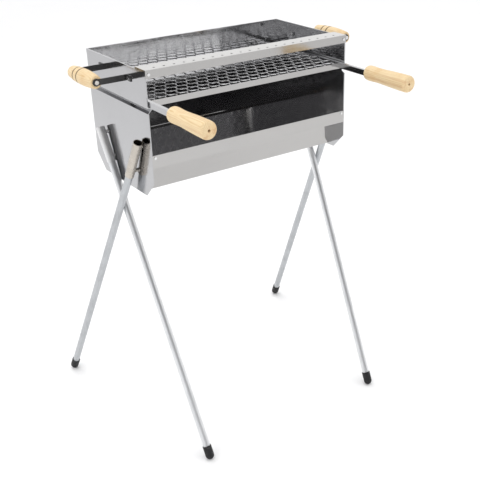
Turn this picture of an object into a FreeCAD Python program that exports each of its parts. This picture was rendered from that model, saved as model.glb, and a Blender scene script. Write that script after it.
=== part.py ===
import FreeCAD, Part
import math
import os

# Portable charcoal grill: folded sheet firebox, pull-out mesh grate, side carry
# handles and four plug-in legs that cross in pairs at each end.
# Millimetres, +Z up, +X to the right, -Y to the front where the grate pulls out.
# While modelling, y = 0 is the front edge of the end panels. save() moves the
# finished shapes so that the origin is under the middle of the whole object.

os.makedirs("parts", exist_ok=True)
V = FreeCAD.Vector

# ---- driving dimensions ----------------------------------------------------

firebox_length = 500.0      # outside faces of the end panels, along X
firebox_depth = 260.0       # front edge to back edge of the end panels
rim_height = 850.0          # floor to the top edge of the end panels
sheet = 1.2                 # thickness of all folded sheet

panel_drop = 264.0          # rim to the bottom edge of an end panel
panel_clip = 35.0           # clipped lower corners of an end panel
hem_width = 8.0             # folded-over edges

ledge_drop = 70.0           # rim to the grate ledge on the beads
bead_depth = 8.0            # how far a bead is pressed inwards
bead_flat = 3.0             # height of the bead's vertical part
bead_gap = 0.3              # rear sheet's notches around the beads

rail_top_rise = 4.0         # top of the front rail above the rim
rail_face_height = 17.0
rail_flange_depth = 42.0
rail_lip_gap = 0.0          # rear lip of the front rail above the rim
rail_hole_radius = 2.4
rail_hole_pitch = 22.4
rail_hole_count = 21
rail_hole_setback = 13.0    # hole row behind the rail's front face

strip_drop = 169.0          # rim to the top hem of the front strip
crease_drop = 196.0         # rim to the fold under the front strip
floor_drop = 259.5          # rim to the underside of the trough floor
step_inset = 27.0           # front strip to the top of the front slope
floor_inset = 52.0          # front and back folds of the floor, from the sheet faces
back_fold_drop = 207.0      # rim to the fold between back slope and lap flange
lap_height = 7.0            # lap flange on the rear sheet
back_panel_drop = 216.0     # rim to the lower edge of the rear sheet

corner_tab_length = 34.0
corner_tab_reach = 8.0
corner_tab_height = 9.0
corner_tab_drop = 50.0      # rim to the top face of a rear corner tab

fixing_tab_width = 14.0     # tabs of the end panels behind rail and strip
rivet_shank_radius = 1.6
rivet_head_radius = 3.0
rivet_head_height = 1.0

leg_diameter = 15.9
leg_wall = 1.2
leg_spread = 131.5          # foot centre beyond the firebox edge, along Y
outer_foot_offset = 75.5    # foot centre outside the end panel, along X
inner_foot_offset = 14.5    # foot centre inside the end panel, along X
foot_diameter = 19.6
foot_grip_length = 22.0
foot_sole = 2.0             # rubber between the tube end and the dome centre

socket_diameter = 19.05
socket_wall = 1.2
outer_socket_length = 92.0
outer_socket_drop = 229.0   # rim to the lower end of a front socket's axis
outer_socket_inset = 77.0   # firebox edge to the lower end of a front socket's axis
outer_socket_gap = 0.2      # mouth of a front socket to the end panel
outer_socket_lean = 5.6     # how much further out its lower end stands
outer_stop_depth = 46.0     # mouth to the underside of the stop ring
inner_socket_length = 77.0
inner_socket_drop = 226.0   # the same sizes for a back socket
inner_socket_inset = 90.0
inner_socket_gap = 0.5      # lower end of a back socket to the end panel
inner_stop_depth = 37.0
socket_stop_height = 4.0
leg_end_gap = 0.1           # leg top below the stop ring
stop_ledge = 0.4            # stop ring inside the bore of a leg
stud_radius = 4.0           # welded studs between a socket and the panel
stud_inset = 12.0           # studs, from the ends of a socket
bend_gap = 4.0              # lower end of a front socket to the bend of its leg

strap_thickness = 2.0
strap_height = 12.0
strap_eye_radius = 7.5
strap_foot_length = 18.0
strap_drop = 24.0           # rim to the strap's centre line
grip_axis_reach = 66.5      # end panel to the axis of a carry grip
carry_grip_length = 106.0
carry_grip_radius = 16.5
carry_grip_end_radius = 13.0
carry_grip_round = 2.0
burn_ring_width = 1.8
burn_ring_depth = 0.5
burn_ring_offsets = (4.0, 22.0)

bolt_radius = 2.4
bolt_head_radius = 4.4
bolt_head_height = 2.8
bolt_tail = 1.6             # bolt beyond the nut
nut_radius = 4.6
nut_height = 4.0
screw_radius = 2.0
screw_head_radius = 4.2
screw_head_height = 2.4
screw_bite = 24.0           # screw inside the wood

grate_side_gap = 1.2        # grate rail to the hem of an end panel
grate_lift = 0.2            # grate rails above the ledge
grate_rail_height = 12.0
grate_front_gap = 3.0       # grate front rail behind the firebox edge
grate_back_gap = 6.0        # grate back rail to the rear sheet
grate_lip = 10.0
back_rail_height = 8.0
mesh_thickness = 3.0
mesh_drop = 1.0             # mesh top below the tops of the rails
mesh_pitch_x = 25.2         # short way of the diamonds
mesh_pitch_y = 46.0         # long way of the diamonds
mesh_strand = 3.0
mesh_selvage = 2.0

arm_reach = 84.0            # arms in front of the firebox edge
tang_radius = 2.8
tang_side_gap = 0.0         # tang to the side walls of its rail, where it is welded
tang_lap = 30.0             # tang inside the arm
tang_end_gap = 12.0         # tang end to the outer face of the grip
grate_grip_length = 128.0
grate_grip_gap = 2.0        # arm end to the inner face of the grip
grate_grip_profile = (
    (0.0, 12.0),
    (2.5, 14.8),
    (10.0, 16.3),
    (34.0, 15.6),
    (62.0, 16.4),
    (96.0, 17.5),
    (120.0, 17.8),
    (125.5, 17.0),
    (128.0, 14.6),
)
ferrule_radius = 10.5
ferrule_length = 8.0
ferrule_bite = 6.0          # part of the ferrule sunk into the wood

# ---- derived places --------------------------------------------------------

half_length = firebox_length / 2
rim = rim_height
ledge = rim - ledge_drop
panel_bottom = rim - panel_drop
bead_miter = sheet * math.tan(math.radians(22.5))
bead_bottom = ledge - sheet - bead_flat - bead_depth - bead_miter
inner_half = half_length - sheet
hem_face = half_length - 2 * sheet

leg_radius = leg_diameter / 2
socket_radius = socket_diameter / 2
socket_bore = socket_radius - socket_wall
foot_radius = foot_diameter / 2

grip_front = (firebox_depth - carry_grip_length) / 2
grip_back = grip_front + carry_grip_length
strap_z = rim - strap_drop

grate_rail_width = 2 * (tang_radius + tang_side_gap + sheet)
grate_half = hem_face - grate_side_gap
mesh_half = grate_half - grate_rail_width
grate_bottom = ledge + grate_lift
grate_top = grate_bottom + grate_rail_height
mesh_top = grate_top - mesh_drop
mesh_bottom = mesh_top - mesh_thickness
grate_front = grate_front_gap
grate_back = firebox_depth - sheet - grate_back_gap
arm_front = -arm_reach
grip_inner = arm_front - grate_grip_gap
grip_outer = grip_inner - grate_grip_length
tang_z = grate_top - sheet - tang_radius
tang_x = -(grate_half - grate_rail_width / 2)

foot_back_y = firebox_depth + leg_spread
frame_y = (foot_back_y + foot_radius + grip_outer) / 2


# ---- helpers ---------------------------------------------------------------

def box(x0, x1, y0, y1, z0, z1):
    return Part.makeBox(x1 - x0, y1 - y0, z1 - z0, V(x0, y0, z0))


def rod(start, end, radius):
    along = end.sub(start)
    return Part.makeCylinder(radius, along.Length, start, along)


def prism_x(points, x0, x1):
    corners = [V(x0, y, z) for y, z in points]
    face = Part.Face(Part.makePolygon(corners + corners[:1]))
    return face.extrude(V(x1 - x0, 0, 0))


def prism_y(points, y0, y1):
    corners = [V(x, y0, z) for x, z in points]
    face = Part.Face(Part.makePolygon(corners + corners[:1]))
    return face.extrude(V(0, y1 - y0, 0))


def folded(path, thickness):
    """Closed outline of a sheet whose left face follows the path."""
    normals = []
    for (a0, b0), (a1, b1) in zip(path, path[1:]):
        run = math.hypot(a1 - a0, b1 - b0)
        normals.append(((b0 - b1) / run, (a1 - a0) / run))
    other = []
    for i, (a, b) in enumerate(path):
        first = normals[max(i - 1, 0)]
        last = normals[min(i, len(normals) - 1)]
        mid = (first[0] + last[0], first[1] + last[1])
        scale = 2 * thickness / (mid[0] ** 2 + mid[1] ** 2)
        other.append((a + mid[0] * scale, b + mid[1] * scale))
    return path + other[::-1]


def smooth_turned(profile, start, axis):
    """Solid of revolution with one smooth curve through the profile points."""
    curve = Part.BSplineCurve()
    curve.interpolate([V(d, r, 0) for d, r in profile])
    first = V(profile[0][0], 0, 0)
    last = V(profile[-1][0], 0, 0)
    edges = [
        Part.makeLine(first, V(profile[0][0], profile[0][1], 0)),
        curve.toShape(),
        Part.makeLine(V(profile[-1][0], profile[-1][1], 0), last),
        Part.makeLine(last, first),
    ]
    face = Part.Face(Part.Wire(edges))
    solid = face.revolve(V(0, 0, 0), V(1, 0, 0), 360)
    turn = FreeCAD.Rotation(V(1, 0, 0), axis)
    solid.Placement = FreeCAD.Placement(start, turn)
    return solid


def join(shapes):
    result = shapes[0]
    if len(shapes) > 1:
        result = result.fuse(shapes[1:])
    return result.removeSplitter()


def mirrored(shape):
    return shape.mirror(V(0, 0, 0), V(1, 0, 0))


def save(name, shape):
    placed = shape.copy()
    placed.translate(V(0, -frame_y, 0))
    placed.exportStep(os.path.join("parts", name + ".step"))


def save_pair(left_name, right_name, shape):
    save(left_name, shape)
    save(right_name, mirrored(shape))


def save_group(name, shapes):
    save(name, Part.makeCompound(shapes))


# ---- rivet places ----------------------------------------------------------

rail_face_y = -2 * sheet
rail_face_low = rim + rail_top_rise - rail_face_height
rail_rivet = V(-half_length + fixing_tab_width / 2, 0, rim - 5.0)
strip_rivet = V(-inner_half + fixing_tab_width / 2, 0, rim - strip_drop - 5.5)


def rivet_bore(place):
    start = V(place.x, rail_face_y - 1, place.z)
    return rod(start, V(place.x, 4 * sheet, place.z), rivet_shank_radius)


def rivet(place, front, back):
    head = rod(V(place.x, front - rivet_head_height, place.z),
               V(place.x, front, place.z), rivet_head_radius)
    shank = rod(V(place.x, front, place.z), V(place.x, back, place.z),
                rivet_shank_radius)
    tail = rod(V(place.x, back, place.z),
               V(place.x, back + rivet_head_height, place.z),
               rivet_head_radius * 0.8)
    return join([head, shank, tail])


# ---- end panels ------------------------------------------------------------

def end_panel():
    x0 = -half_length
    bead_top = ledge - sheet
    bead_mid = bead_top - bead_flat
    bead_low = bead_mid - bead_depth
    section = [
        (x0, panel_bottom),
        (x0, bead_low),
        (x0 + bead_depth, bead_mid),
        (x0 + bead_depth, bead_top),
        (x0, bead_top),
        (x0, rim),
        (x0 + sheet, rim),
        (x0 + sheet, ledge),
        (x0 + bead_depth + sheet, ledge),
        (x0 + bead_depth + sheet, bead_mid - bead_miter),
        (x0 + sheet, bead_low - bead_miter),
        (x0 + sheet, panel_bottom),
    ]
    outline = [
        (0, rim),
        (0, panel_bottom + panel_clip),
        (panel_clip, panel_bottom),
        (firebox_depth - panel_clip, panel_bottom),
        (firebox_depth, panel_bottom + panel_clip),
        (firebox_depth, rim),
    ]
    body = prism_y(section, 0, firebox_depth)
    limit = prism_x(outline, x0, x0 + bead_depth + 2 * sheet)
    body = body.common(limit)

    hem_in = x0 + sheet
    hem_out = x0 + 2 * sheet
    hem_low = rim - strip_drop + 1.0
    top_hem = box(hem_in, hem_out, 0, firebox_depth - sheet, rim - hem_width, rim)
    front_hem_high = box(hem_in, hem_out, 0, hem_width, ledge, rim)
    front_hem_low = box(hem_in, hem_out, 0, hem_width, hem_low, bead_low - sheet)

    rail_tab = box(x0, x0 + fixing_tab_width, -sheet, 0, rim - 11.0, rim - 1.0)
    strip_top = rim - strip_drop
    strip_tab = box(hem_in, hem_in + fixing_tab_width, 2 * sheet, 3 * sheet,
                    strip_top - 18.0, strip_top - 2.0)
    panel = join([body, top_hem, front_hem_high, front_hem_low, rail_tab, strip_tab])
    panel = panel.cut(rivet_bore(rail_rivet))
    panel = panel.cut(rivet_bore(strip_rivet))
    for y in (front_bolt_y, back_bolt_y):
        bore = rod(V(x0 - 1, y, strap_z), V(x0 + 2 * sheet, y, strap_z), bolt_radius)
        panel = panel.cut(bore)
    return panel


# ---- carry handles ---------------------------------------------------------

front_bolt_y = grip_front - strap_thickness - 7.0
back_bolt_y = grip_back + strap_thickness + 7.0
grip_x = -half_length - grip_axis_reach


def strap(bar_y, foot_to, bolt_y):
    low = strap_z - strap_height / 2
    high = strap_z + strap_height / 2
    face = -half_length
    bar = box(grip_x, face, bar_y, bar_y + strap_thickness, low, high)
    eye = rod(V(grip_x, bar_y, strap_z),
              V(grip_x, bar_y + strap_thickness, strap_z), strap_eye_radius)
    foot = box(face - strap_thickness, face, min(bar_y, foot_to),
               max(bar_y + strap_thickness, foot_to), low, high)
    part = join([bar, eye, foot])
    part = part.cut(rod(V(grip_x, bar_y - 1, strap_z),
                        V(grip_x, bar_y + strap_thickness + 1, strap_z), screw_radius))
    part = part.cut(rod(V(face - strap_thickness - 1, bolt_y, strap_z),
                        V(face + 1, bolt_y, strap_z), bolt_radius))
    return part


def strap_bolt(y):
    face = -half_length - strap_thickness
    head = rod(V(face - bolt_head_height, y, strap_z), V(face, y, strap_z),
               bolt_head_radius)
    end = -half_length + sheet + nut_height + bolt_tail
    shank = rod(V(face, y, strap_z), V(end, y, strap_z), bolt_radius)
    return join([head, shank])


def strap_nut(y):
    x0 = -half_length + sheet
    corners = []
    for i in range(6):
        turn = math.radians(60 * i)
        corners.append(V(x0, y + nut_radius * math.cos(turn),
                         strap_z + nut_radius * math.sin(turn)))
    hexagon = Part.Face(Part.makePolygon(corners + corners[:1]))
    nut = hexagon.extrude(V(nut_height, 0, 0))
    return nut.cut(rod(V(x0 - 1, y, strap_z), V(x0 + nut_height + 1, y, strap_z),
                       bolt_radius))


def carry_grip():
    length = carry_grip_length
    round_off = carry_grip_round
    edge = carry_grip_end_radius
    arc = Part.Arc(V(round_off, edge, 0), V(length / 2, carry_grip_radius, 0),
                   V(length - round_off, edge, 0))
    edges = [
        Part.makeLine(V(0, 0, 0), V(0, edge - round_off, 0)),
        Part.makeLine(V(0, edge - round_off, 0), V(round_off, edge, 0)),
        arc.toShape(),
        Part.makeLine(V(length - round_off, edge, 0), V(length, edge - round_off, 0)),
        Part.makeLine(V(length, edge - round_off, 0), V(length, 0, 0)),
        Part.makeLine(V(length, 0, 0), V(0, 0, 0)),
    ]
    grip = Part.Face(Part.Wire(edges)).revolve(V(0, 0, 0), V(1, 0, 0), 360)
    half = length / 2
    sag = carry_grip_radius - edge
    span = half - round_off
    bow = (span ** 2 + sag ** 2) / (2 * sag)
    for offset in burn_ring_offsets:
        radius = math.sqrt(bow ** 2 - offset ** 2) - (bow - carry_grip_radius)
        at = half + offset - burn_ring_width / 2
        ring = Part.makeCylinder(2 * carry_grip_radius, burn_ring_width,
                                 V(at, 0, 0), V(1, 0, 0))
        core = Part.makeCylinder(radius - burn_ring_depth, burn_ring_width,
                                 V(at, 0, 0), V(1, 0, 0))
        grip = grip.cut(ring.cut(core))
    grip.Placement = FreeCAD.Placement(V(grip_x, grip_front, strap_z),
                                       FreeCAD.Rotation(V(1, 0, 0), V(0, 1, 0)))
    for y0, y1 in ((grip_front - 1, grip_front + screw_bite),
                   (grip_back - screw_bite, grip_back + 1)):
        grip = grip.cut(rod(V(grip_x, y0, strap_z), V(grip_x, y1, strap_z),
                            screw_radius))
    return grip


def grip_screw(face_y, inward):
    start = V(grip_x, face_y, strap_z)
    head = rod(start, start.add(V(0, -inward * screw_head_height, 0)),
               screw_head_radius)
    reach = strap_thickness + screw_bite
    shank = rod(start, start.add(V(0, inward * reach, 0)), screw_radius)
    return join([head, shank])


# ---- firebox sheets --------------------------------------------------------

def trough():
    back_face = firebox_depth - sheet
    floor = rim - floor_drop
    path = [
        (0, rim - strip_drop),
        (0, rim - crease_drop),
        (step_inset, rim - crease_drop),
        (floor_inset, floor),
        (firebox_depth - floor_inset, floor),
        (back_face, rim - back_fold_drop),
        (back_face, rim - back_fold_drop + lap_height),
    ]
    sheet_body = prism_x(folded(path, sheet), -inner_half, inner_half)
    strip_top = rim - strip_drop
    hem = box(-inner_half, inner_half, sheet, 2 * sheet, strip_top - hem_width, strip_top)
    tray = join([sheet_body, hem])
    tray = tray.cut(rivet_bore(strip_rivet))
    return tray.cut(mirrored(rivet_bore(strip_rivet)))


def back_panel():
    """Rear sheet with a folded top edge, notched around the ends of the beads."""
    depth = firebox_depth
    wall = box(-inner_half, inner_half, depth - sheet, depth,
               rim - back_panel_drop, rim)
    hem = box(-half_length, half_length, depth, depth + sheet, rim - hem_width, rim)
    notch = box(-half_length, -inner_half + bead_depth + bead_gap,
                depth - sheet, depth, bead_bottom - bead_gap, ledge + bead_gap)
    panel = join([wall, hem])
    return panel.cut(notch).cut(mirrored(notch))


def front_top_rail():
    y0 = rail_face_y
    top = rim + rail_top_rise
    path = [
        (y0 + rail_flange_depth, rim + rail_lip_gap),
        (y0 + rail_flange_depth, top),
        (y0, top),
        (y0, rail_face_low),
    ]
    rail = prism_x(folded(path, sheet), -half_length, half_length)
    end_block = box(-half_length, -half_length + sheet, y0 + sheet,
                    y0 + rail_flange_depth - sheet, rim, top)
    rail = join([rail, end_block, mirrored(end_block)])
    first = -rail_hole_pitch * (rail_hole_count - 1) / 2
    holes = []
    for i in range(rail_hole_count):
        x = first + i * rail_hole_pitch
        holes.append(Part.makeCylinder(rail_hole_radius, 4 * sheet,
                                       V(x, y0 + rail_hole_setback, top - 3 * sheet)))
    rail = rail.cut(Part.makeCompound(holes))
    rail = rail.cut(rivet_bore(rail_rivet))
    return rail.cut(mirrored(rivet_bore(rail_rivet)))


def corner_tab():
    top = rim - corner_tab_drop
    back = firebox_depth - sheet
    x1 = inner_half
    x0 = x1 - corner_tab_length
    plate = box(x0, x1, back - sheet, back, top - sheet, top + corner_tab_height)
    lip = box(x0, x1, back - corner_tab_reach, back, top - sheet, top)
    return join([plate, lip])


# ---- leg sockets and legs --------------------------------------------------

def foot_centre(outer):
    if outer:
        return V(-half_length - outer_foot_offset, firebox_depth + leg_spread,
                 foot_radius)
    return V(-half_length + inner_foot_offset, -leg_spread, foot_radius)


def socket_line(outer):
    """Mouth and lower end of the left front (outer) or left back socket axis."""
    foot = foot_centre(outer)
    if outer:
        mouth_x = -half_length - socket_radius - outer_socket_gap
        low = V(mouth_x - outer_socket_lean, outer_socket_inset,
                rim - outer_socket_drop)
        slope = (low.y - foot.y) / (low.z - foot.z)
        up = math.sqrt(outer_socket_length ** 2 - outer_socket_lean ** 2)
        up /= math.hypot(1.0, slope)
        return V(mouth_x, low.y + slope * up, low.z + up), low
    low = V(-half_length - socket_radius - inner_socket_gap,
            firebox_depth - inner_socket_inset, rim - inner_socket_drop)
    back = low.sub(foot).normalize()
    return low.add(back.multiply(inner_socket_length)), low


def stop_depth(outer):
    return outer_stop_depth if outer else inner_stop_depth


def leg_points(outer):
    mouth, low = socket_line(outer)
    down = low.sub(mouth).normalize()
    top = mouth.add(V(down).multiply(stop_depth(outer) + leg_end_gap))
    bend = low.add(V(down).multiply(bend_gap))
    return top, bend, foot_centre(outer), down


def socket(outer):
    mouth, low = socket_line(outer)
    down = low.sub(mouth).normalize()
    tube = rod(mouth, low, socket_radius)
    studs = []
    for distance in (stud_inset, low.sub(mouth).Length - stud_inset):
        centre = mouth.add(V(down).multiply(distance))
        studs.append(rod(V(-half_length, centre.y, centre.z), centre, stud_radius))
    solid = join([tube] + studs)
    before = mouth.sub(down)
    after = low.add(down)
    solid = solid.cut(rod(before, after, socket_bore))
    depth = stop_depth(outer)
    ring_top = mouth.add(V(down).multiply(depth - socket_stop_height))
    ring_low = mouth.add(V(down).multiply(depth))
    ring = rod(ring_top, ring_low, socket_bore)
    ring = ring.cut(rod(ring_top.sub(down), ring_low.add(down),
                        leg_radius - leg_wall - stop_ledge))
    return join([solid, ring])


def bent_rod(top, bend, end, radius, stretch):
    upper_way = bend.sub(top).normalize()
    lower_way = end.sub(bend).normalize()
    first = top.sub(V(upper_way).multiply(stretch))
    last = end.add(V(lower_way).multiply(stretch))
    upper = rod(first, bend, radius)
    lower = rod(bend, last, radius)
    ball = Part.makeSphere(radius, bend)
    return join([upper, ball, lower])


def leg(outer):
    top, bend, foot, down = leg_points(outer)
    way = foot.sub(bend).normalize()
    end = foot.sub(V(way).multiply(foot_sole))
    tube = bent_rod(top, bend, end, leg_radius, 0.0)
    bore = bent_rod(top, bend, end, leg_radius - leg_wall, 1.0)
    return tube.cut(bore)


def foot_cap(outer):
    top, bend, foot, down = leg_points(outer)
    way = foot.sub(bend).normalize()
    start = foot.sub(V(way).multiply(foot_grip_length))
    end = foot.sub(V(way).multiply(foot_sole))
    cap = join([rod(start, foot, foot_radius), Part.makeSphere(foot_radius, foot)])
    return cap.cut(rod(start.sub(way), end, leg_radius))


# ---- grate -----------------------------------------------------------------

def grate_mesh():
    """Flat plate with a staggered field of diamonds, all in one face."""
    x1 = mesh_half
    y0 = grate_front + sheet
    y1 = grate_back - sheet
    half_x = mesh_pitch_x / 2
    half_y = mesh_pitch_y / 2
    edge = math.hypot(half_x, half_y)
    shrink = mesh_strand / 2 * edge / (half_x * half_y)
    open_x = half_x * (1 - shrink)
    open_y = half_y * (1 - shrink)
    centre_y = (y0 + y1) / 2
    inside = box(-x1 + mesh_selvage, x1 - mesh_selvage, y0 + mesh_selvage,
                 y1 - mesh_selvage, mesh_bottom - 1, mesh_top + 1)
    columns = int(math.ceil(x1 / half_x)) + 1
    rows = int(math.ceil((y1 - y0) / mesh_pitch_y)) + 1
    diamonds = []
    for i in range(-columns, columns + 1):
        x = i * half_x
        shift = half_y if i % 2 else 0.0
        for j in range(-rows, rows + 1):
            y = centre_y + j * mesh_pitch_y + shift
            if abs(x) - open_x > x1 or abs(y - centre_y) - open_y > (y1 - y0) / 2:
                continue
            corners = [
                V(x - open_x, y, mesh_bottom - 1),
                V(x, y - open_y, mesh_bottom - 1),
                V(x + open_x, y, mesh_bottom - 1),
                V(x, y + open_y, mesh_bottom - 1),
            ]
            face = Part.Face(Part.makePolygon(corners + corners[:1]))
            diamonds.append(face.extrude(V(0, 0, mesh_thickness + 2)))
    holes = Part.makeCompound(diamonds).common(inside)
    plate = box(-x1, x1, y0, y1, mesh_bottom, mesh_top)
    return plate.cut(holes)


def grate_front_rail():
    y0 = grate_front
    face = box(-mesh_half, mesh_half, y0, y0 + sheet, grate_bottom, grate_top)
    lip = box(-mesh_half, mesh_half, y0, y0 + grate_lip, mesh_bottom - sheet,
              mesh_bottom)
    return join([face, lip])


def grate_back_rail():
    y1 = grate_back
    top = grate_bottom + back_rail_height
    face = box(-mesh_half, mesh_half, y1 - sheet, y1, grate_bottom, top)
    lip = box(-mesh_half, mesh_half, y1 - grate_lip, y1, mesh_bottom - sheet,
              mesh_bottom)
    return join([face, lip])


def grate_side_rail():
    x0 = -grate_half
    x1 = -mesh_half
    y1 = grate_back
    body = box(x0, x1, arm_front, y1, grate_bottom, grate_top)
    hollow = box(x0 + sheet, x1 - sheet, arm_front - 1, y1 + 1,
                 grate_bottom - 1, grate_top - sheet)
    return body.cut(hollow)


def handle_tang():
    start = V(tang_x, arm_front + tang_lap, tang_z)
    end = V(tang_x, grip_outer + tang_end_gap, tang_z)
    return rod(start, end, tang_radius)


def ferrule():
    start = V(tang_x, grip_inner + ferrule_length - ferrule_bite, tang_z)
    end = start.add(V(0, -ferrule_length, 0))
    ring = rod(start, end, ferrule_radius)
    return ring.cut(rod(start.add(V(0, 1, 0)), end.sub(V(0, 1, 0)), tang_radius))


def grate_grip():
    start = V(tang_x, grip_inner, tang_z)
    grip = smooth_turned(grate_grip_profile, start, V(0, -1, 0))
    seat_start = start.add(V(0, 1, 0))
    seat_end = start.add(V(0, -ferrule_bite, 0))
    grip = grip.cut(rod(seat_start, seat_end, ferrule_radius))
    bore_end = V(tang_x, grip_outer - 1, tang_z)
    return grip.cut(rod(seat_start, bore_end, tang_radius))


# ---- write everything ------------------------------------------------------

save_pair("left_end_panel", "right_end_panel", end_panel())
save("back_panel", back_panel())
save("trough", trough())
save("front_top_rail", front_top_rail())
save_group("rear_corner_tabs", [corner_tab(), mirrored(corner_tab())])

rail_pin = rivet(rail_rivet, rail_face_y, 0.0)
strip_pin = rivet(strip_rivet, 0.0, 3 * sheet)
save_group("sheet_rivets", [rail_pin, mirrored(rail_pin), strip_pin, mirrored(strip_pin)])

save_pair("front_left_socket", "front_right_socket", socket(True))
save_pair("back_left_socket", "back_right_socket", socket(False))

front_strap = strap(grip_front - strap_thickness, grip_front - strap_foot_length,
                    front_bolt_y)
back_strap = strap(grip_back, grip_back + strap_foot_length, back_bolt_y)
save_pair("left_front_strap", "right_front_strap", front_strap)
save_pair("left_back_strap", "right_back_strap", back_strap)

bolts = [strap_bolt(front_bolt_y), strap_bolt(back_bolt_y)]
save_group("strap_bolts", bolts + [mirrored(b) for b in bolts])
nuts = [strap_nut(front_bolt_y), strap_nut(back_bolt_y)]
save_group("strap_nuts", nuts + [mirrored(n) for n in nuts])

save_pair("left_carry_grip", "right_carry_grip", carry_grip())
screws = [
    grip_screw(grip_front - strap_thickness, 1.0),
    grip_screw(grip_back + strap_thickness, -1.0),
]
save_group("grip_screws", screws + [mirrored(s) for s in screws])

save("grate_mesh", grate_mesh())
save("grate_front_rail", grate_front_rail())
save("grate_back_rail", grate_back_rail())
save_pair("grate_left_rail", "grate_right_rail", grate_side_rail())
save_pair("left_handle_tang", "right_handle_tang", handle_tang())
save_group("handle_ferrules", [ferrule(), mirrored(ferrule())])
save_pair("left_grate_grip", "right_grate_grip", grate_grip())

save_pair("left_outer_leg", "right_outer_leg", leg(True))
save_pair("left_inner_leg", "right_inner_leg", leg(False))
save_pair("left_outer_foot", "right_outer_foot", foot_cap(True))
save_pair("left_inner_foot", "right_inner_foot", foot_cap(False))
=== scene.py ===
import math

import bpy
from mathutils import Matrix, Vector


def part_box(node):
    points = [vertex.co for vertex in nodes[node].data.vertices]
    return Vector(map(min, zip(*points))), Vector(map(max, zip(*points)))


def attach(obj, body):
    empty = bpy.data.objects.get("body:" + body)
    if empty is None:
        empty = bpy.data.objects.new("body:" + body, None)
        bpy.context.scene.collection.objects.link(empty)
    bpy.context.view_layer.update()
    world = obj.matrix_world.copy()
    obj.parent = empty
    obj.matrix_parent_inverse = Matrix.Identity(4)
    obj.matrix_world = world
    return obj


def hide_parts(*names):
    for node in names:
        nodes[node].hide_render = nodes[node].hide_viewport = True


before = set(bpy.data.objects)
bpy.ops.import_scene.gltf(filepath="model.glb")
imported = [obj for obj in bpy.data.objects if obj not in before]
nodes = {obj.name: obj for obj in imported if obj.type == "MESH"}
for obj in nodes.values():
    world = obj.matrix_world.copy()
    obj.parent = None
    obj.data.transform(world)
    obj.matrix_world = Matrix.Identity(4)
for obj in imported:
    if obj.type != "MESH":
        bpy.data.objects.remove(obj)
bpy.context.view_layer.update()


# ---- node helpers ----------------------------------------------------------

class Look:
    """A new material with a Principled shader and short calls for its nodes."""

    def __init__(self, name, **values):
        self.material = bpy.data.materials.new(name)
        self.material.use_nodes = True
        self.tree = self.material.node_tree
        self.shader = self.tree.nodes["Principled BSDF"]
        for key, value in values.items():
            self.shader.inputs[key.replace("_", " ")].default_value = value
        self.coords = self.node("ShaderNodeTexCoord").outputs["Object"]

    def node(self, kind, **settings):
        made = self.tree.nodes.new(kind)
        for key, value in settings.items():
            setattr(made, key, value)
        return made

    def plug(self, source, socket):
        self.tree.links.new(source, socket)

    def feed(self, socket, value):
        if isinstance(value, bpy.types.NodeSocket):
            self.plug(value, socket)
        else:
            socket.default_value = value

    def mapped(self, scale=(1, 1, 1), move=(0, 0, 0), turn=(0, 0, 0)):
        made = self.node("ShaderNodeMapping")
        made.inputs["Scale"].default_value = scale
        made.inputs["Location"].default_value = move
        made.inputs["Rotation"].default_value = turn
        self.plug(self.coords, made.inputs["Vector"])
        return made.outputs["Vector"]

    def noise(self, vector, scale, detail=3.0, roughness=0.5, distortion=0.0):
        made = self.node("ShaderNodeTexNoise")
        self.plug(vector, made.inputs["Vector"])
        made.inputs["Scale"].default_value = scale
        made.inputs["Detail"].default_value = detail
        made.inputs["Roughness"].default_value = roughness
        made.inputs["Distortion"].default_value = distortion
        return made.outputs["Fac"]

    def span(self, value, low, high, out_low=0.0, out_high=1.0, smooth=True):
        made = self.node("ShaderNodeMapRange")
        made.interpolation_type = "SMOOTHSTEP" if smooth else "LINEAR"
        self.plug(value, made.inputs["Value"])
        for key, number in (("From Min", low), ("From Max", high),
                            ("To Min", out_low), ("To Max", out_high)):
            made.inputs[key].default_value = number
        return made.outputs["Result"]

    def math(self, operation, a, b=0.0, c=0.0):
        made = self.node("ShaderNodeMath", operation=operation)
        for socket, value in zip(made.inputs, (a, b, c)):
            self.feed(socket, value)
        return made.outputs["Value"]

    def mix(self, factor, a, b):
        made = self.node("ShaderNodeMix", data_type="RGBA")
        self.feed(made.inputs[0], factor)
        self.feed(made.inputs[6], a)
        self.feed(made.inputs[7], b)
        return made.outputs[2]

    def split(self, vector):
        made = self.node("ShaderNodeSeparateXYZ")
        self.plug(vector, made.inputs["Vector"])
        return made.outputs

    def bump(self, height, distance, strength=1.0, under=None):
        made = self.node("ShaderNodeBump")
        made.inputs["Distance"].default_value = distance
        made.inputs["Strength"].default_value = strength
        self.plug(height, made.inputs["Height"])
        if under is not None:
            self.plug(under, made.inputs["Normal"])
        return made.outputs["Normal"]

    def finish(self, colour=None, roughness=None, normal=None):
        for key, source in (("Base Color", colour), ("Roughness", roughness),
                            ("Normal", normal)):
            if source is not None:
                self.plug(source, self.shader.inputs[key])
        return self.material


def rgb(r, g, b):
    return (r, g, b, 1.0)


# ---- metals ----------------------------------------------------------------

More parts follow.
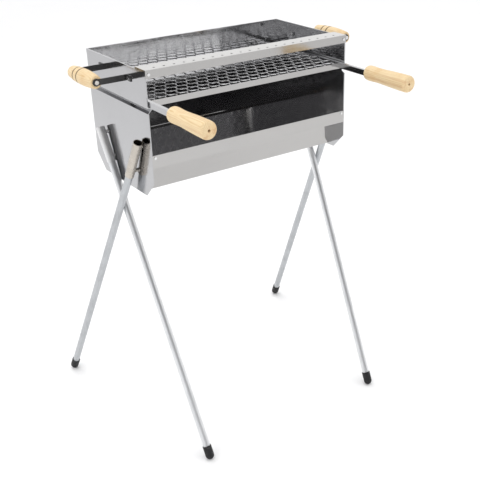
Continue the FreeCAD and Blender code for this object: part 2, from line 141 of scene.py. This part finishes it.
def sheet_steel(name, tint, grain, wave=1.0, gloss=0.055, seed=0.0):
    """Bright rolled steel: slow waves, fine grain lines along one axis and smudges."""
    look = Look(name, Metallic=1.0)
    place = look.mapped(move=(seed, seed * 0.7, seed * 1.3))
    slow = look.noise(place, 5.0, 1.0)
    quick = look.noise(place, 17.0, 1.0)
    lines = look.noise(look.mapped(scale=grain), 1.0, 3.0, 0.6)
    smudge = look.span(look.noise(place, 11.0, 4.0, 0.62, 0.6), 0.46, 0.74)
    specks = look.span(look.noise(place, 240.0, 2.0), 0.66, 0.8)
    dull = tuple(c * 0.93 for c in tint)
    colour = look.mix(look.math("MULTIPLY", smudge, 0.55), rgb(*tint), rgb(*dull))
    colour = look.mix(look.math("MULTIPLY", specks, 0.18), colour,
                      rgb(*[c * 0.8 for c in tint]))
    rough = look.math("MULTIPLY_ADD", smudge, 0.07, gloss)
    rough = look.math("MULTIPLY_ADD", lines, 0.05, rough)
    height = look.math("MULTIPLY_ADD", quick, 0.16, slow)
    normal = look.bump(height, 0.0022 * wave)
    normal = look.bump(lines, 0.00003, 1.0, normal)
    return look.finish(colour, rough, normal)


def tube_steel(name, tint, gloss, mottle, seed=0.0):
    look = Look(name, Metallic=1.0)
    place = look.mapped(move=(seed, seed, seed))
    cloud = look.noise(place, 26.0, 4.0, 0.6)
    drawn = look.noise(look.mapped(scale=(420, 420, 14)), 1.0, 2.0)
    patch = look.span(cloud, 0.4, 0.65)
    colour = look.mix(look.math("MULTIPLY", patch, mottle), rgb(*tint),
                      rgb(*[c * 0.84 for c in tint]))
    rough = look.math("MULTIPLY_ADD", patch, 0.08, gloss)
    rough = look.math("MULTIPLY_ADD", drawn, 0.06, rough)
    normal = look.bump(drawn, 0.00002)
    return look.finish(colour, rough, normal)


def painted_black(name):
    look = Look(name, Metallic=0.0, Coat_Weight=0.25, Coat_Roughness=0.22)
    place = look.mapped()
    peel = look.noise(place, 700.0, 2.0)
    dust = look.span(look.noise(place, 60.0, 5.0, 0.7), 0.5, 0.8)
    colour = look.mix(look.math("MULTIPLY", dust, 0.5), rgb(0.012, 0.012, 0.013),
                      rgb(0.045, 0.045, 0.048))
    rough = look.math("MULTIPLY_ADD", dust, 0.18, 0.34)
    return look.finish(colour, rough, look.bump(peel, 0.00005))


def black_rubber(name):
    look = Look(name, Metallic=0.0, Specular_IOR_Level=0.35)
    place = look.mapped()
    grain = look.noise(place, 900.0, 2.0)
    dust = look.span(look.noise(place, 90.0, 4.0, 0.6), 0.45, 0.8)
    colour = look.mix(dust, rgb(0.016, 0.016, 0.017), rgb(0.05, 0.05, 0.05))
    rough = look.math("MULTIPLY_ADD", grain, 0.2, 0.55)
    return look.finish(colour, rough, look.bump(grain, 0.00008))


# ---- wood ------------------------------------------------------------------

def pine(name, centre, along, seed, light, dark, rings=(), red=0.0):
    """Turned pine. Growth layers run along the grip and show as rings on its ends."""
    look = Look(name, Metallic=0.0, Specular_IOR_Level=0.38)
    move = look.node("ShaderNodeVectorMath", operation="SUBTRACT")
    look.plug(look.coords, move.inputs[0])
    move.inputs[1].default_value = centre
    local = move.outputs["Vector"]

    heart = look.node("ShaderNodeVectorMath", operation="MULTIPLY")
    look.plug(local, heart.inputs[0])
    slow_axis = [1.0, 1.0, 1.0]
    slow_axis[along] = 0.07
    heart.inputs[1].default_value = slow_axis
    shifted = look.node("ShaderNodeVectorMath", operation="ADD")
    look.plug(heart.outputs["Vector"], shifted.inputs[0])
    offset = [0.011 + 0.004 * math.sin(seed * 3), 0.013, -0.017 + 0.006 * math.cos(seed)]
    offset[along] = 0.0
    shifted.inputs[1].default_value = offset
    wobble = look.node("ShaderNodeTexNoise")
    look.plug(shifted.outputs["Vector"], wobble.inputs["Vector"])
    wobble.inputs["Scale"].default_value = 38.0 + seed
    wobble.inputs["Detail"].default_value = 2.0
    bend = look.node("ShaderNodeVectorMath", operation="SCALE")
    bend.inputs["Scale"].default_value = 0.006
    look.plug(wobble.outputs["Color"], bend.inputs[0])
    warped = look.node("ShaderNodeVectorMath", operation="ADD")
    look.plug(shifted.outputs["Vector"], warped.inputs[0])
    look.plug(bend.outputs["Vector"], warped.inputs[1])
    layers = look.node("ShaderNodeTexWave", wave_type="RINGS",
                       rings_direction="XYZ"[along], wave_profile="SAW")
    look.plug(warped.outputs["Vector"], layers.inputs["Vector"])
    layers.inputs["Scale"].default_value = 95.0
    layers.inputs["Distortion"].default_value = 0.6
    layers.inputs["Detail"].default_value = 2.0
    late = look.span(layers.outputs["Fac"], 0.45, 1.0)

    fine = [520.0, 520.0, 520.0]
    fine[along] = 22.0
    fibres = look.noise(look.mapped(scale=fine, move=(seed, seed, seed)), 1.0, 3.0, 0.65)
    cloud = look.noise(look.mapped(move=(seed, 2 * seed, seed)), 30.0, 3.0)
    tone = look.math("MULTIPLY_ADD", look.span(fibres, 0.35, 0.75), 0.35,
                     look.math("MULTIPLY", late, 0.55))
    colour = look.mix(tone, rgb(*light), rgb(*dark))
    colour = look.mix(look.math("MULTIPLY", look.span(cloud, 0.45, 0.75), 0.35),
                      colour, rgb(dark[0] * 1.02, dark[1] * 0.9, dark[2] * 0.75))
    if red:
        streak = look.noise(look.mapped(scale=[v * 0.16 for v in fine],
                                        move=(3 * seed, seed, seed)), 1.0, 2.0)
        colour = look.mix(look.math("MULTIPLY", look.span(streak, 0.55, 0.72), red),
                          colour, rgb(0.50, 0.25, 0.11))
    axis = look.split(local)[along]
    if rings:
        place = look.math("ADD", axis,
                          look.math("MULTIPLY", look.noise(look.coords, 160.0, 3.0), 0.0008))
        for at, half in rings:
            gap = look.math("ABSOLUTE", look.math("SUBTRACT", place, at + 0.0004))
            halo = look.span(gap, half * 0.9, half * 3.2, 0.5, 0.0)
            colour = look.mix(halo, colour, rgb(0.36, 0.19, 0.07))
            core = look.span(gap, half * 0.75, half * 1.5, 1.0, 0.0)
            colour = look.mix(core, colour, rgb(0.035, 0.017, 0.008))
    rough = look.math("MULTIPLY_ADD", fibres, 0.18, 0.42)
    normal = look.bump(fibres, 0.00012)
    normal = look.bump(late, 0.00005, 1.0, normal)
    return look.finish(colour, rough, normal)


# ---- giving materials to the frame's nodes ---------------------------------

def dress(material, *names):
    for name in names:
        piece = nodes[name]
        piece.data.materials.clear()
        piece.data.materials.append(material)


STEEL = (0.46, 0.46, 0.468)
WARM_STEEL = (0.46, 0.452, 0.443)
INNER_STEEL = (0.61, 0.61, 0.62)
ALONG_X = (9, 900, 900)
ALONG_Y = (900, 9, 900)
ALONG_Z = (900, 900, 9)

dress(sheet_steel("end_sheet", STEEL, ALONG_Z, 0.8, 0.07, 1.0), "left_end_panel")
dress(sheet_steel("end_sheet_right", STEEL, ALONG_Z, 1.6, 0.05, 5.0), "right_end_panel")
dress(sheet_steel("back_sheet", INNER_STEEL, ALONG_X, 1.0, 0.05, 2.0), "back_panel")
dress(sheet_steel("trough_sheet", WARM_STEEL, ALONG_X, 1.3, 0.06, 3.0), "trough")
dress(sheet_steel("rail_sheet", WARM_STEEL, ALONG_X, 0.7, 0.08, 4.0), "front_top_rail")
dress(sheet_steel("tab_sheet", STEEL, ALONG_X, 0.5, 0.08, 6.0), "rear_corner_tabs")
dress(sheet_steel("grate_sheet", WARM_STEEL, ALONG_X, 0.8, 0.12, 7.0),
      "grate_front_rail", "grate_back_rail")
dress(sheet_steel("arm_sheet", STEEL, ALONG_Y, 0.4, 0.14, 8.0),
      "grate_left_rail", "grate_right_rail")

dress(tube_steel("nickel_socket", (0.55, 0.51, 0.455), 0.22, 0.5, 1.0),
      "front_left_socket", "front_right_socket")
dress(tube_steel("bright_socket", (0.80, 0.80, 0.80), 0.42, 0.2, 2.0),
      "back_left_socket", "back_right_socket")
# The outer legs get a darker tint than the inner legs: partly a duller zinc tube, partly
# painted shade for the side that stands in shadow.
dress(tube_steel("zinc_tube_painted_shade", (0.51, 0.525, 0.54), 0.36, 0.5, 3.0),
      "left_outer_leg", "right_outer_leg")
dress(tube_steel("bright_tube", (0.76, 0.77, 0.78), 0.36, 0.3, 4.0),
      "left_inner_leg", "right_inner_leg")
dress(tube_steel("zinc_fastener", (0.72, 0.72, 0.72), 0.18, 0.3, 5.0),
      "strap_bolts", "strap_nuts", "grip_screws", "sheet_rivets",
      "left_handle_tang", "right_handle_tang", "handle_ferrules")
dress(painted_black("black_paint"), "left_front_strap", "left_back_strap",
      "right_front_strap", "right_back_strap")
dress(black_rubber("foot_rubber"), "left_outer_foot", "left_inner_foot",
      "right_outer_foot", "right_inner_foot")

PINE_LIGHT = (0.81, 0.645, 0.40)
PINE_DARK = (0.64, 0.435, 0.21)
RING_OFFSETS = (0.004, 0.022)
RING_HALF = 0.0009


def middle(name):
    low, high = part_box(name)
    return (Vector(low) + Vector(high)) / 2


for number, name in enumerate(("left_carry_grip", "right_carry_grip")):
    rings = [(at + RING_HALF, RING_HALF) for at in RING_OFFSETS]
    dress(pine(name + "_pine", middle(name), 1, 1.0 + 4 * number, PINE_LIGHT,
               PINE_DARK, rings), name)
for number, name in enumerate(("left_grate_grip", "right_grate_grip")):
    dress(pine(name + "_pine", middle(name), 1, 2.5 + 5 * number, PINE_LIGHT,
               PINE_DARK, red=0.4), name)


# ---- raised expanded metal -------------------------------------------------

PITCH_X = 0.0252
PITCH_Y = 0.046
STRAND = 0.0024
STOCK = 0.0013
TILT = math.radians(-64)
BOND = 0.15        # part of each half pitch where two strands lie side by side
STEPS = 10         # rings along each half pitch
TRIM = 0.0008      # strands end this far inside the node's box
EDGE_BEVEL = 0.0002


def expanded_metal():
    """Strands run along Y in zigzags; each leans, and joins its neighbour at bonds."""
    low, high = (Vector(c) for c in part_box("grate_mesh"))
    mid = (low + high) / 2
    half_x = PITCH_X / 2
    half_y = PITCH_Y / 2
    wide = Vector((math.cos(TILT), 0, math.sin(TILT)))
    thick = Vector((-math.sin(TILT), 0, math.cos(TILT)))
    verts, faces = [], []
    columns = int((high.x - low.x) / half_x / 2) + 2
    y_count = int(math.ceil((high.y - low.y) / half_y)) + 2
    y_start = mid.y - half_y * (y_count // 2 + 1)
    for k in range(-columns, columns):
        ring_start = None
        parity = k % 2
        for j in range(y_count + 2):
            for s in range(STEPS):
                t = s / STEPS
                y = y_start + (j + t) * half_y
                if y < low.y + TRIM or y > high.y - TRIM:
                    continue
                ramp = min(max((t - BOND) / (1 - 2 * BOND), 0.0), 1.0)
                ramp = ramp * ramp * (3 - 2 * ramp)
                here = (j + parity) % 2
                side = ramp if here == 0 else 1 - ramp
                reach = half_x / 2 - STRAND * math.cos(TILT) / 2
                x = mid.x + (k + 0.5) * half_x + (2 * side - 1) * reach
                rise = (0.5 - side) * STRAND * math.sin(TILT)
                if x < low.x + TRIM or x > high.x - TRIM:
                    if ring_start is not None:
                        faces.append(tuple(ring_start + c for c in range(4)))
                    ring_start = None
                    continue
                centre = Vector((x, y, mid.z + rise))
                ring = len(verts)
                for a, b in ((-1, -1), (1, -1), (1, 1), (-1, 1)):
                    verts.append(centre + wide * (a * STRAND / 2) + thick * (b * STOCK / 2))
                if ring_start is not None:
                    p = ring_start
                    for c in range(4):
                        n = (c + 1) % 4
                        faces.append((p + c, p + n, ring + n, ring + c))
                else:
                    faces.append((ring + 3, ring + 2, ring + 1, ring))
                ring_start = ring
        if ring_start is not None:
            p = ring_start
            faces.append((p, p + 1, p + 2, p + 3))
    mesh = bpy.data.meshes.new("expanded_metal")
    mesh.from_pydata([tuple(v) for v in verts], [], faces)
    mesh.update()
    made = bpy.data.objects.new("expanded_metal", mesh)
    bpy.context.scene.collection.objects.link(made)
    edge = made.modifiers.new("edge", "BEVEL")
    edge.width = EDGE_BEVEL
    edge.segments = 1
    edge.limit_method = "ANGLE"
    edge.angle_limit = math.radians(50)
    for polygon in mesh.polygons:
        polygon.use_smooth = False
    return made


def mesh_steel(name):
    look = Look(name, Metallic=1.0)
    place = look.mapped()
    spangle = look.noise(place, 160.0, 3.0)
    soot = look.span(look.noise(place, 28.0, 4.0, 0.65), 0.42, 0.7)
    colour = look.mix(look.math("MULTIPLY", soot, 0.6), rgb(0.66, 0.66, 0.67),
                      rgb(0.46, 0.45, 0.44))
    rough = look.math("MULTIPLY_ADD", spangle, 0.22, 0.16)
    return look.finish(colour, rough, look.bump(spangle, 0.00006))


grate = expanded_metal()
grate.data.materials.append(mesh_steel("grate_steel"))
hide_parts("grate_mesh")
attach(grate, "grate")


# ---- floor, light and camera -----------------------------------------------

FLOOR_HALF = 14.0
FLOOR_GAP = 0.0005       # keeps the floor clear of the feet
HORIZON_TOP = 0.19       # white below this height, dark above the next
DARK_FROM = 0.34
BACKDROP = (1.25, 1.25, 1.25)
DARK_ROOM = (0.125, 0.125, 0.135)
TARGET = (0.0, 0.1, 0.7)


def floor():
    half = FLOOR_HALF
    corners = [(-half, -half, 0), (half, -half, 0), (half, half, 0), (-half, half, 0)]
    mesh = bpy.data.meshes.new("floor")
    mesh.from_pydata(corners, [], [(0, 1, 2, 3)])
    made = bpy.data.objects.new("floor", mesh)
    bpy.context.scene.collection.objects.link(made)
    made.location.z = -FLOOR_GAP
    look = Look("floor_paint", Metallic=0.0, Specular_IOR_Level=0.0)
    place = look.mapped()
    cloud = look.noise(place, 3.0, 4.0)
    colour = look.mix(cloud, rgb(0.93, 0.93, 0.93), rgb(0.95, 0.95, 0.95))
    rough = look.math("MULTIPLY_ADD", cloud, 0.1, 0.85)
    mesh.materials.append(look.finish(colour, rough))


def surroundings():
    """White near the horizon, under a dark room."""
    world = bpy.data.worlds.new("studio")
    bpy.context.scene.world = world
    world.use_nodes = True
    tree = world.node_tree
    background = tree.nodes["Background"]
    coords = tree.nodes.new("ShaderNodeTexCoord").outputs["Generated"]
    height = tree.nodes.new("ShaderNodeVectorMath")
    height.operation = "DOT_PRODUCT"
    tree.links.new(coords, height.inputs[0])
    height.inputs[1].default_value = (-0.05, -0.12, 1.0)
    fall = tree.nodes.new("ShaderNodeMapRange")
    fall.interpolation_type = "SMOOTHSTEP"
    fall.inputs["From Min"].default_value = HORIZON_TOP
    fall.inputs["From Max"].default_value = DARK_FROM
    tree.links.new(height.outputs["Value"], fall.inputs["Value"])
    mix = tree.nodes.new("ShaderNodeMix")
    mix.data_type = "RGBA"
    tree.links.new(fall.outputs["Result"], mix.inputs[0])
    mix.inputs[6].default_value = rgb(*BACKDROP)
    mix.inputs[7].default_value = rgb(*DARK_ROOM)
    tree.links.new(mix.outputs[2], background.inputs["Color"])
    background.inputs["Strength"].default_value = 1.0


def softbox(name, spot, target, size, power):
    lamp = bpy.data.lights.new(name, "AREA")
    lamp.shape = "RECTANGLE"
    lamp.size, lamp.size_y = size
    lamp.energy = power
    made = bpy.data.objects.new(name, lamp)
    made.location = spot
    aim = Vector(target) - Vector(spot)
    made.rotation_mode = "QUATERNION"
    made.rotation_quaternion = aim.to_track_quat("-Z", "Y")
    bpy.context.scene.collection.objects.link(made)


def daylight(name, aim, strength, spread):
    """Wide, soft light from above that shows no disc of its own in the steel."""
    lamp = bpy.data.lights.new(name, "SUN")
    lamp.energy = strength
    lamp.angle = math.radians(spread)
    made = bpy.data.objects.new(name, lamp)
    made.rotation_mode = "QUATERNION"
    made.rotation_quaternion = Vector(aim).to_track_quat("-Z", "Y")
    made.visible_glossy = False
    bpy.context.scene.collection.objects.link(made)


def camera():
    bearing = math.radians(36.31)
    down = math.radians(26.17)
    roll = math.radians(-0.68)
    forward = Vector((math.sin(bearing) * math.cos(down),
                      math.cos(bearing) * math.cos(down), -math.sin(down)))
    right = Vector((math.cos(bearing), -math.sin(bearing), 0.0))
    up = right.cross(forward)
    tilted_right = right * math.cos(roll) + up * math.sin(roll)
    tilted_up = up * math.cos(roll) - right * math.sin(roll)
    data = bpy.data.cameras.new("camera")
    data.sensor_width = 36.0
    data.lens = 63.1
    data.shift_x = -0.0935
    data.shift_y = 0.016
    data.clip_start, data.clip_end = 0.05, 60.0
    made = bpy.data.objects.new("camera", data)
    turn = Matrix((tilted_right, tilted_up, -forward)).transposed().to_4x4()
    made.matrix_world = Matrix.Translation((-0.9755, -1.5251, 1.2538)) @ turn
    bpy.context.scene.collection.objects.link(made)
    bpy.context.scene.camera = made


floor()
surroundings()
daylight("overhead", (0.12, 0.1, -1.0), 2.65, 120)
softbox("back", (0.2, 2.0, 3.0), (0, 0, 0.7), (2.2, 1.2), 14)
softbox("left", (-2.6, -0.9, 2.6), (0, 0, 0.7), (1.0, 1.0), 10)
softbox("key", (1.6, -2.3, 1.75), TARGET, (1.8, 1.0), 7)
softbox("overhead_box", (0.0, 0.2, 3.2), TARGET, (1.8, 1.6), 8)
camera()
bpy.context.scene.view_settings.view_transform = "Standard"
bpy.context.scene.view_settings.look = "None"
